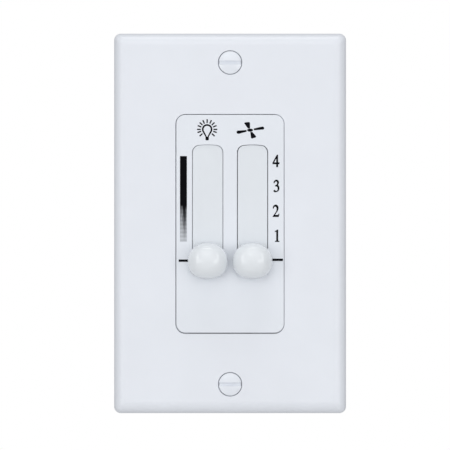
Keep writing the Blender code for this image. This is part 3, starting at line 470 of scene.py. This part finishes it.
def plate_ring(inset):
    corner = max(PLATE_CORNER - inset / 2, PLATE_CORNER / 2)
    return rounded_rectangle(plate.half.x - inset, plate.half.z - inset, corner)


def opening_ring(growth=0.0):
    half_x = insert.half.x + OPENING_GAP - OPENING_SHIFT + growth
    half_z = insert.half.z + OPENING_GAP - OPENING_DROP + OPENING_SAG + growth
    centre = (-OPENING_SHIFT, -OPENING_DROP - OPENING_SAG)
    return rounded_rectangle(half_x, half_z, OPENING_CORNER + growth, centre=centre)


def screw_centres():
    z = (Box("plate_screw_upper").middle.z, Box("plate_screw_lower").middle.z)
    return [(0.0, height) for height in z]


def make_wall_plate():
    """One closed section carried round the plate: foot, side, shoulder, front, opening, inside."""
    foot, opening_edge, front = 0.25, 0.15, plate.low.y
    inner_face = front + PLATE_WALL
    rings = [(plate_ring(inset), -rise) for rise, inset in quarter_round(foot, 3)]
    shoulder_steps = 14
    for step in range(shoulder_steps + 1):
        angle = math.radians(90 * step / shoulder_steps)
        inset = PLATE_SHOULDER * (1 - math.cos(angle))
        rings.append((plate_ring(inset), front + PLATE_SHOULDER * (1 - math.sin(angle))))
    rings += [(opening_ring(rise), front + inset) for inset, rise in quarter_round(opening_edge, 4)]
    inside = plate_ring(PLATE_WALL)
    rings += [(opening_ring(), inner_face), (inside, inner_face), (inside, 0.0)]
    piece = loft("wall_plate_moulding", rings, closed=True)
    # A screw's hole: a straight mouth with a rolled lip, a cone, and a clear hole.
    mouth, hole, lip, wall_back, cone_back = 3.66, 2.1, 0.05, 0.7, 2.1
    profile = [(mouth + lip, front - PAST)]
    profile += [(mouth + rise, front + inset) for inset, rise in quarter_round(lip, 4)[1:]]
    profile += [(mouth, front + wall_back), (hole, front + cone_back), (hole, inner_face + PAST)]
    shape_with(piece, "DIFFERENCE", turned("countersinks", profile, screw_centres()))
    finish_piece(piece, "base", "plate_white", SLOT_MATERIALS["plate_white"], "wall_plate")


HEAD_TRIM = 0.1                 # the head is this much smaller than the CAD's, in radius
HEAD_DOME_POWER = 2.4           # 2 is a plain dome, more is flatter in the middle


def make_plate_screw(node):
    """Oval-head screw: a low slotted dome, a short rim, a cone behind it and a threaded shank."""
    screw = Box(node)
    radius, front, tip = screw.half.z - HEAD_TRIM, screw.low.y, screw.high.y
    crown, shank, thread, pitch = 0.5, 1.25, 1.4, 0.8
    rim_height, cone_end, thread_start, thread_end, point_start = 0.25, 2.3, 2.6, 1.2, 0.7
    dome_steps, centre_share, point_share = 8, 0.04, 0.5
    rim = front + crown
    profile = []
    for step in range(dome_steps + 1):
        share = max(step / dome_steps, centre_share)
        profile.append((radius * share, front + crown * share ** HEAD_DOME_POWER))
    profile += [(radius, rim + rim_height), (shank, rim + cone_end)]
    depth = rim + thread_start
    while depth < tip - thread_end:
        for thread_radius, share in ((shank, 0), (thread, 0.3), (thread, 0.45), (shank, 0.75)):
            profile.append((thread_radius, depth + pitch * share))
        depth += pitch
    profile += [(shank, tip - point_start), (shank * point_share, tip)]
    piece = turned(f"{node}_body", profile, [(0.0, screw.middle.z)])
    slot_half, slot_depth, reach = 0.55, 0.9, radius + PAST
    z = screw.middle.z
    slot = ((-reach, reach), (front - PAST, front + slot_depth), (z - slot_half, z + slot_half))
    shape_with(piece, "DIFFERENCE", boxes("screw_slot", [slot]))
    finish_piece(piece, "base", "screw_white", SLOT_MATERIALS["screw_white"], node)


# ---- Face insert and channel floor ----

SLOT_HALF_WIDTH = 4.68
SLOT_CORNER = 1.8
SLOT_CROWN = 0.5                # how far the slot's ends bulge at their middle
SLOT_LOW = -16.2
SLOT_HIGH = 23.7
SLIT_WIDTHS = {"light": 0.16, "fan": 0.24}      # between a slot's side and the land that fills it
LAND_END_GAPS = {"light": 0.1, "fan": 0.15}     # between a slot's end and the land
LAND_SUNK = 0.3                 # land behind the insert's front
FACE_CORNER = 2.7
FACE_THICKNESS = 1.2
POST_X = 12.0
POST_Z = 29.6
TRAVEL = 30.0                   # of each knob, from its off dash


def slot_outline(centre_x, growth_x=0.0, growth_z=0.0, corner_steps=10, crown_steps=10):
    """Slot with round corners and bulging ends, grown or shrunk by so much each way."""
    half_width = SLOT_HALF_WIDTH + growth_x
    flat = SLOT_HALF_WIDTH - SLOT_CORNER
    corner_width = half_width - flat
    end = []
    for step in range(corner_steps + 1):
        angle = math.radians(90 * step / corner_steps)
        end.append((flat + corner_width * math.cos(angle), SLOT_CORNER * (math.sin(angle) - 1)))
    for step in range(1, crown_steps):
        end.append((flat * (1 - 2 * step / crown_steps), 0.0))
    for x, z in end[corner_steps::-1]:
        end.append((-x, z))
    middle = (SLOT_LOW + SLOT_HIGH) / 2
    half_length = (SLOT_HIGH - SLOT_LOW) / 2 - SLOT_CROWN + growth_z
    outline = []
    for side in (1, -1):
        for x, z in end:
            bulge = SLOT_CROWN * (1 - (x / half_width) ** 2)
            outline.append((centre_x + side * x, middle + side * (half_length + z + bulge)))
    return outline


def post_centres():
    """Middles of the four posts, which the insert and the housing share."""
    return [(side_x * POST_X, side_z * POST_Z) for side_x in (-1, 1) for side_z in (-1, 1)]


def make_face_insert():
    front, foot, edge, rim = insert.low.y, insert.high.y, 0.25, 0.05
    boss_radius, boss_sunk, pilot_radius, pilot_end = 2.6, 0.4, 1.5, 0.3
    face_back = front + FACE_THICKNESS
    inside_x, inside_z = insert.half.x - FACE_THICKNESS, insert.half.z - FACE_THICKNESS
    rings = []
    for inset, rise in reversed(quarter_round(edge)):
        half_z, middle = insert.half.z - OPENING_DROP - inset, (0.0, -OPENING_DROP)
        outline = rounded_rectangle(insert.half.x - inset, half_z, FACE_CORNER - inset / 2, centre=middle)
        rings.append((outline, front + rise))
    inside = rounded_rectangle(inside_x, inside_z, FACE_CORNER - FACE_THICKNESS)
    rings += [(rings[-1][0], foot), (inside, foot), (inside, face_back)]
    piece = loft("face_insert_moulding", rings)
    boss = ((boss_radius, face_back - boss_sunk), (boss_radius, foot))
    shape_with(piece, "UNION", turned("insert_bosses", boss, post_centres(), 32))
    pilot = ((pilot_radius, face_back + pilot_end), (pilot_radius, foot + PAST))
    tools = [turned("insert_pilots", pilot, post_centres(), 24)]
    for name, knob in knobs.items():
        x = knob.middle.x
        cutter = [(slot_outline(x, rim, rim), front - PAST)]
        cutter += [(slot_outline(x, growth, growth), front + drop) for drop, growth in quarter_round(rim)[1:]]
        cutter.append((slot_outline(x), face_back + PAST))
        tools.append(loft(f"{name}_slot_cutter", cutter))
    shape_with(piece, "DIFFERENCE", *tools)
    finish_piece(piece, "base", "face_white", SLOT_MATERIALS["face_white"], "face_insert")


def make_channel_floor():
    """Floor of both channels, with a land that fills each slot and a slit down each side of it."""
    floor_front, floor_back, foot = -3.9, -3.1, channel.high.y
    land_front, land_edge, land_foot = insert.low.y + LAND_SUNK, 0.05, -3.5
    tongue_x, tongue_z = 8.9, 26.6
    quarter = [(channel.half.x, tongue_z), (tongue_x, tongue_z), (tongue_x, channel.half.z)]
    outline = quarter + [(-x, z) for x, z in reversed(quarter)]
    outline += [(-x, -z) for x, z in quarter] + [(x, -z) for x, z in reversed(quarter)]
    piece = loft("channel_floor_moulding", [(outline, floor_front), (outline, floor_back)])
    leg_half_length, slit_inward, slit_outward = 2.9, 0.45, 0.22
    length = (DASH_Z - leg_half_length, DASH_Z + TRAVEL + leg_half_length)
    slits = []
    for knob in knobs.values():
        for side in (-1, 1):
            near = knob.middle.x + side * (SLOT_HALF_WIDTH - slit_inward)
            far = knob.middle.x + side * (SLOT_HALF_WIDTH + slit_outward)
            span = (min(near, far), max(near, far))
            slits.append((span, (floor_front - PAST, floor_back + PAST), length))
    shape_with(piece, "DIFFERENCE", boxes("floor_slits", slits))
    tools = []
    for name, knob in knobs.items():
        rings = []
        for inset, rise in reversed(quarter_round(land_edge, 4)):
            land = slot_outline(knob.middle.x, -SLIT_WIDTHS[name] - inset, -LAND_END_GAPS[name] - inset)
            rings.append((land, land_front + rise))
        rings.append((rings[-1][0], land_foot))
        tools.append(loft(f"{name}_land", rings))
    rail_clearance, rail_half_length = 0.3, 26.0
    depth = (insert.low.y + FACE_THICKNESS + rail_clearance, foot)
    length = (-rail_half_length, rail_half_length)
    rails = ((-14.5, -13.8), (-0.45, 0.45), (13.8, 14.5))
    tools.append(boxes("floor_rails", [(rail, depth, length) for rail in rails]))
    shape_with(piece, "UNION", *tools)
    # The floor and its lands are the face's white plastic, darkened as painted shade for lying sunk behind
    # the face.
    finish_piece(piece, "base", "face_white", moulded("floor_moulding_painted_shade", FLOOR_SHADED_COLOUR, 0.40), "channel_plate")


# ---- Knobs ----

KNOB_WIDEST = 1.8               # how far in front of the knob's back its outline is fullest
KNOB_PROFILE = (                # (share of the outline, how far forward), from the front back
    (0.05, 7.195), (0.15, 7.157), (0.25, 7.08), (0.34, 6.98), (0.42, 6.86), (0.49, 6.72), (0.55, 6.57),
    (0.60, 6.41), (0.65, 6.2), (0.70, 5.94), (0.75, 5.63), (0.80, 5.27), (0.85, 4.86), (0.90, 4.36),
    (0.935, 3.9), (0.965, 3.37), (0.985, 2.85), (0.996, 2.35), (1.0, KNOB_WIDEST), (0.992, 1.2),
    (0.965, 0.5), (0.94, 0.0),
)
KNOB_CAP_SHARE = 0.6            # rings smaller than this belong to the cap in front
KNOB_CAP_RISE = 0.5             # how far the cap stands above the knob's middle
KNOB_POWERS = (2.08, 2.4)       # roundness of the knob's upper and lower half


def knob_outline(centre, half_x, half_z):
    """One ring of the knob, rounder above its centre than below."""
    upper, lower = (superellipse(half_x, half_z, power, centre) for power in KNOB_POWERS)
    return [high if high[1] >= centre[1] else low for high, low in zip(upper, lower)]


def make_knob(name, body):
    """Round push-on knob: a low cap, a long flank and a side drawn in behind, with a stem's socket."""
    knob = knobs[name]
    middle, back = knob.middle, knob.high.y
    rings = []
    for share, forward in KNOB_PROFILE:
        rise = 0.0
        if forward > KNOB_WIDEST:
            rise = KNOB_CAP_RISE * min((1 - share) / (1 - KNOB_CAP_SHARE), 1.0)
        outline = knob_outline((middle.x, middle.z + rise), knob.half.x * share, knob.half.z * share)
        rings.append((outline, back - forward))
    socket_x, socket_z, socket_front, socket_power = 2.5, 2.9, -10.7, 8.0
    socket = superellipse(socket_x, socket_z, socket_power, (middle.x, middle.z))
    rings += [(socket, back), (socket, socket_front)]
    piece = loft(f"{name}_knob_moulding", rings)
    finish_piece(piece, body, "knob_white", SLOT_MATERIALS["knob_white"], f"{name}_knob")


# ---- Printed legends ----

INK_HEIGHT = 0.03
INK_SUNK = 0.01                 # how far the film reaches into the face
BAR_SPAN = (-15.07, -12.99)
BAR_LOW = -5.5
BAR_HIGH = 20.25
BAR_SOLID = 5.4                 # above this the bar's ink is solid
DASH_HALF = 0.36
DIGIT_HEIGHT = 3.5
DIGIT_EM = 676.0                # cap height of the digits' own grid
DIGIT_WIDTH_SHARE = 0.78        # digits are condensed by this
DIGIT_RIGHT = 14.73             # digits are ranged right
DIGIT_SPREAD = 0.115            # how far the ink spreads past the outline
DIGIT_PITCH = 7.5
DIGIT_TOP_Z = 18.8              # middle of the 4


def traced(*moves, steps=8):
    """Closed outline: a pair is a corner, and six numbers are a curve's two handles and its end."""
    points = [Vector(moves[0])]
    for move in moves[1:]:
        if len(move) == 2:
            points.append(Vector(move))
            continue
        first, second, end = Vector(move[0:2]), Vector(move[2:4]), Vector(move[4:6])
        start = points[-1]
        curve = interpolate_bezier(start, first, second, end, steps + 1)
        points += curve[1:]
    return [tuple(point) for point in points]


def printed(name, outlines, material=None, spread=0.0):
    """A film of ink on the insert's face, spread by so much. An outline inside another is a hole in it."""
    curve = bpy.data.curves.new(name, "CURVE")
    curve.dimensions = "2D"
    curve.fill_mode = "BOTH"
    curve.extrude = (INK_HEIGHT + INK_SUNK) / 2 * MM
    curve.offset = spread * MM
    for outline in outlines:
        spline = curve.splines.new("POLY")
        spline.points.add(len(outline) - 1)
        for point, (x, z) in zip(spline.points, outline):
            point.co = (x * MM, z * MM, 0.0, 1.0)
        spline.use_cyclic_u = True
    holder = bpy.data.objects.new(f"{name}_outline", curve)
    bpy.context.scene.collection.objects.link(holder)
    graph = bpy.context.evaluated_depsgraph_get()
    mesh = bpy.data.meshes.new_from_object(holder.evaluated_get(graph))
    bpy.data.objects.remove(holder, do_unlink=True)
    middle = (insert.low.y - (INK_HEIGHT - INK_SUNK) / 2) * MM
    for vertex in mesh.vertices:
        x, z, depth = vertex.co
        vertex.co = (x, middle - depth, z)
    mesh.name = name
    piece = bpy.data.objects.new(name, mesh)
    bpy.context.scene.collection.objects.link(piece)
    mesh.materials.clear()
    mesh.materials.append(material or LEGEND_INK)
    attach(piece, "base")
    return piece


def band(left, right, low, high):
    return [(left, low), (right, low), (right, high), (left, high)]


DIGITS = {                      # from the top down
    "4": (
        traced((472, 167), (370, 167), (370, 0), (288, 0), (288, 167), (12, 167), (12, 231), (322, 676),
               (370, 676), (370, 231), (472, 231)),
        traced((288, 231), (288, 560), (58, 231)),
    ),
    "3": (
        traced((61, 510), (45, 514), (80, 627, 148, 676, 238, 676), (331, 676, 396, 619, 396, 533),
               (396, 475, 366, 430, 296, 388), (385, 352, 431, 294, 431, 212),
               (431, 80, 322, -14, 152, -14), (79, -14, 43, 6, 43, 43), (43, 66, 60, 80, 82, 80),
               (99, 80, 115, 74, 143, 53), (178, 28, 198, 20, 224, 20), (299, 20, 352, 86, 352, 176),
               (352, 262, 297, 322, 153, 330), (153, 348), (247, 372, 314, 422, 314, 505),
               (314, 570, 271, 610, 203, 610), (146, 610, 103, 579, 61, 510)),
    ),
    "2": (
        traced((475, 137), (424, 0), (29, 0), (29, 14), (208, 201), (280, 277, 320, 355, 320, 440),
               (320, 535, 268, 598, 186, 598), (120, 598, 80, 562, 48, 484), (31, 488),
               (52, 620, 130, 676, 222, 676), (330, 676, 406, 606, 406, 501),
               (406, 411, 357, 334, 250, 224), (128, 78), (355, 78), (415, 78, 432, 90, 461, 142)),
    ),
    "1": (
        traced((394, 0), (118, 0), (118, 16), (190, 20, 212, 34, 212, 83), (212, 546),
               (212, 577, 200, 593, 176, 593), (160, 593, 145, 590, 111, 576), (111, 592), (286, 676),
               (299, 672), (299, 74), (299, 33, 320, 20, 394, 16)),
    ),
}


def make_digits():
    size_z = DIGIT_HEIGHT / DIGIT_EM
    size_x = size_z * DIGIT_WIDTH_SHARE
    for index, (digit, glyph) in enumerate(DIGITS.items()):
        z = DIGIT_TOP_Z - index * DIGIT_PITCH
        edge = max(x for outline in glyph for x, y in outline)
        outlines = []
        for outline in glyph:
            outlines.append([
                (DIGIT_RIGHT + (x - edge) * size_x, z + (y - DIGIT_EM / 2) * size_z) for x, y in outline
            ])
        printed(f"digit_{digit}", outlines, spread=DIGIT_SPREAD)


def make_fading_bar():
    outline = band(*BAR_SPAN, BAR_LOW, BAR_HIGH)
    printed("brightness_bar", [outline], fading_ink("fading_ink", BAR_SOLID, BAR_LOW))


def make_off_dashes():
    for name, left, right, rise in (("light", -15.45, -12.5, 0.0), ("fan", 12.5, 15.9, 0.25)):
        z = DASH_Z + rise
        printed(f"{name}_off_dash", [band(left, right, z - DASH_HALF, z + DASH_HALF)])


def polar(centre, radius, degrees):
    angle = math.radians(degrees)
    return (centre[0] + radius * math.cos(angle), centre[1] + radius * math.sin(angle))


def make_bulb():
    """Light bulb: a round outline that narrows to a solid base, with rays round its top."""
    centre, outer, stroke = (-6.9, 28.28), 1.58, 0.5
    neck_half, neck_top, foot, chamfer, hollow_half = 0.5, -2.2, -3.3, 0.2, 0.1
    lowest, degree_step = -38, 8
    turns = range(lowest, 181 - lowest, degree_step)
    rim = [polar(centre, outer, degrees) for degrees in turns]
    hollow = [polar(centre, outer - stroke, degrees) for degrees in turns]
    x, z = centre
    base = [(neck_half, neck_top), (neck_half, foot + chamfer), (neck_half - chamfer, foot)]
    rim += [(x - across, z + up) for across, up in base]
    rim += [(x + across, z + up) for across, up in reversed(base)]
    hollow += [(x - hollow_half, z + neck_top), (x + hollow_half, z + neck_top)]
    outlines = [rim, hollow]
    ray_half, near, far = 0.2, 1.9, 3.05
    for degrees in (90, 65, 115, 43, 137, 22, 158, 0, 180, -18, 198, -42, 222):
        start, end = Vector(polar(centre, near, degrees)), Vector(polar(centre, far, degrees))
        side = (end - start).orthogonal().normalized() * ray_half
        outlines.append([tuple(start + side), tuple(end + side), tuple(end - side), tuple(start - side)])
    printed("bulb_symbol", outlines)


def make_fan():
    """Four fan blades seen at a slant round a small hub."""
    x, z = 6.02, 28.05
    hub_half_x, hub_half_z, ink_spread = 0.8, 0.38, 0.08
    hub = superellipse(hub_half_x, hub_half_z, 2, segments=24)
    left = traced((-1.15, -0.04), (-1.15, -0.42), (-3.3, -1.0), (-3.8, -1.1, -4.05, -0.8, -4.0, -0.55),
                  (-3.95, -0.25, -3.7, -0.15, -3.3, -0.2))
    right = traced((1.2, 0.04), (1.2, 0.42), (3.5, 0.98), (3.9, 1.05, 4.2, 0.85, 4.15, 0.55),
                   (4.1, 0.28, 3.9, 0.22, 3.5, 0.26))
    upper = traced((-0.62, 0.6), (-0.1, 0.6), (-0.12, 2.2), (-0.3, 2.36), (-1.4, 2.28), (-1.68, 2.1))
    lower = traced((0.14, -0.62), (0.62, -0.62), (1.72, -1.85), (1.65, -2.12), (0.55, -2.46), (0.35, -2.3))
    outlines = [[(x + px, z + pz) for px, pz in outline] for outline in (hub, left, right, upper, lower)]
    printed("fan_symbol", outlines, spread=ink_spread)


# ---- Rear housing ----

HOUSING_CORNER = 3.0
HOUSING_WALL = 1.8


def make_rear_housing():
    """Deep black box: rounded back, four screw posts, and an oval hole for the leads."""
    housing = Box("rear_housing")
    front, back, edge = housing.low.y, housing.high.y, 0.8
    rings = []
    for inset, rise in reversed(quarter_round(edge)):
        outline = rounded_rectangle(housing.half.x - inset, housing.half.z - inset, HOUSING_CORNER - inset)
        rings.append((outline, back - rise))
    inside_corner = HOUSING_CORNER - HOUSING_WALL
    inside = rounded_rectangle(housing.half.x - HOUSING_WALL, housing.half.z - HOUSING_WALL, inside_corner)
    rings += [(rings[-1][0], front), (inside, front), (inside, back - HOUSING_WALL)]
    piece = loft("rear_housing_moulding", rings)
    post_radius = 2.8
    post = ((post_radius, front), (post_radius, back - HOUSING_WALL / 2))
    shape_with(piece, "UNION", turned("housing_posts", post, post_centres(), 40))
    bore, counterbore, sunk, above, chamfer = 1.5, 2.2, 1.7, 0.05, 0.15
    mouth = counterbore + chamfer + above
    hole = (
        (bore, front - PAST), (bore, back - sunk), (counterbore, back - sunk),
        (counterbore, back - chamfer), (mouth, back + above), (mouth, back + PAST),
    )
    exit_centre, exit_half_x, exit_half_z, exit_corner, exit_chamfer = (-9.5, -14.0), 7.5, 2.8, 2.75, 0.4
    exit_rings = []
    for growth, depth in ((0.0, -HOUSING_WALL - PAST), (0.0, -exit_chamfer), (1.0, above), (1.0, PAST)):
        growth *= exit_chamfer + above
        half_x, half_z, corner = exit_half_x + growth, exit_half_z + growth, exit_corner + growth
        exit_rings.append((rounded_rectangle(half_x, half_z, corner, 10, exit_centre), back + depth))
    panel_half_x, panel_half_z, panel_corner, panel_depth, panel_z = 17.5, 11.0, 1.5, 0.25, 9.0
    panel = rounded_rectangle(panel_half_x, panel_half_z, panel_corner, 6, (0.0, panel_z))
    tools = [
        turned("housing_bores", hole, post_centres(), 40), loft("lead_exit_cutter", exit_rings),
        loft("panel_cutter", [(panel, back - panel_depth), (panel, back + PAST)]),
    ]
    shape_with(piece, "DIFFERENCE", *tools)
    finish_piece(piece, "base", "black_plastic", SLOT_MATERIALS["black_plastic"], "rear_housing")


# ---- CAD nodes that stay ----

def paint_cad_nodes():
    """Give every CAD node the procedural material of its slot."""
    for subpart in frame["record"]["subparts"]:
        node = frame["nodes"][subpart["node"]]
        node.data.materials.clear()
        node.data.materials.append(SLOT_MATERIALS[subpart["material_slot"]])


# ---- Stage, lights and camera ----

def softbox(name, place, size, radiance):
    """White area light of that size and radiance, turned to the object. All in metres."""
    light = bpy.data.lights.new(name, "AREA")
    light.shape = "RECTANGLE"
    light.size, light.size_y = size
    light.energy = radiance * math.pi * size[0] * size[1]
    lamp = bpy.data.objects.new(name, light)
    lamp.location = place
    lamp.rotation_euler = (-Vector(place)).to_track_quat("-Z", "Y").to_euler()
    lamp.visible_camera = False
    bpy.context.scene.collection.objects.link(lamp)


WORLD_COLOUR = (0.97, 0.985, 1.0, 1.0)
WORLD_STRENGTH = 0.41
CAMERA_PLACE = (-0.00153, -2.2, -0.00048)       # metres
LENS = 583.5                    # millimetres, on a sensor 36 mm wide


def make_world():
    """White behind the object, and a soft even light from all round."""
    world = bpy.data.worlds.new("studio")
    world.use_nodes = True
    tree = world.node_tree
    around = tree.nodes["Background"]
    around.inputs["Color"].default_value = WORLD_COLOUR
    around.inputs["Strength"].default_value = WORLD_STRENGTH
    backdrop = add_node(tree, "ShaderNodeBackground", {"Color": (1.0, 1.0, 1.0, 1.0), "Strength": 1.0})
    seen = add_node(tree, "ShaderNodeLightPath").outputs["Is Camera Ray"]
    mixed = add_node(tree, "ShaderNodeMixShader", {0: seen, 1: around.outputs[0], 2: backdrop.outputs[0]})
    tree.links.new(mixed.outputs[0], tree.nodes["World Output"].inputs["Surface"])
    bpy.context.scene.world = world


def make_floor():
    """Pale floor below the object, ending behind it so that it stays out of the front view."""
    height, side, near, far = -0.30, 1.0, -0.9, 0.35        # metres
    bm = bmesh.new()
    corners = [(-side, near), (side, near), (side, far), (-side, far)]
    bm.faces.new([bm.verts.new((x, y, height)) for x, y in corners])
    floor = make_object("floor", bm)
    material, tree, shader, place = new_material("pale_floor")
    tone = mix_colours(tree, noise(tree, place, 60.0, 2.0), (0.80, 0.80, 0.80), (0.84, 0.84, 0.84))
    tree.links.new(tone, shader.inputs["Base Color"])
    shader.inputs["Roughness"].default_value = 0.9
    floor.data.materials.append(material)


def make_camera():
    camera_data = bpy.data.cameras.new("camera")
    camera_data.sensor_width = 36.0
    camera_data.lens = LENS
    camera = bpy.data.objects.new("camera", camera_data)
    camera.location = CAMERA_PLACE
    camera.rotation_euler = (math.radians(90), 0.0, 0.0)
    bpy.context.scene.collection.objects.link(camera)
    bpy.context.scene.camera = camera
    bpy.context.scene.view_settings.view_transform = "Standard"


def make_lights():
    softbox("key_above", (-0.20, -2.1, 1.7), (1.9, 1.4), 0.90)
    softbox("front_fill", (0.0, -2.9, 0.30), (2.4, 2.0), 0.63)
    softbox("overhead", (0.0, -0.35, 1.7), (1.0, 0.45), 4.5)
    softbox("left_strip", (-1.5, -1.5, 0.10), (0.5, 1.8), 2.95)
    softbox("right_strip", (1.5, -1.5, 0.10), (0.5, 1.8), 2.4)
    softbox("left_panel", (-0.447, -0.80, -0.12), (0.26, 0.20), 1.9)
    softbox("right_panel", (0.447, -0.80, -0.12), (0.26, 0.20), 2.7)
    softbox("top_strip", (-0.28, -1.55, 0.58), (0.60, 0.10), 3.1)


LEGEND_INK = ink("legend_ink")
make_camera()
make_world()
make_lights()
make_floor()
paint_cad_nodes()
make_wall_plate()
for screw_node in ("plate_screw_upper", "plate_screw_lower"):
    make_plate_screw(screw_node)
make_face_insert()
make_channel_floor()
make_knob("light", "light_slider")
make_knob("fan", "fan_slider")
make_digits()
make_fading_bar()
make_off_dashes()
make_bulb()
make_fan()
make_rear_housing()
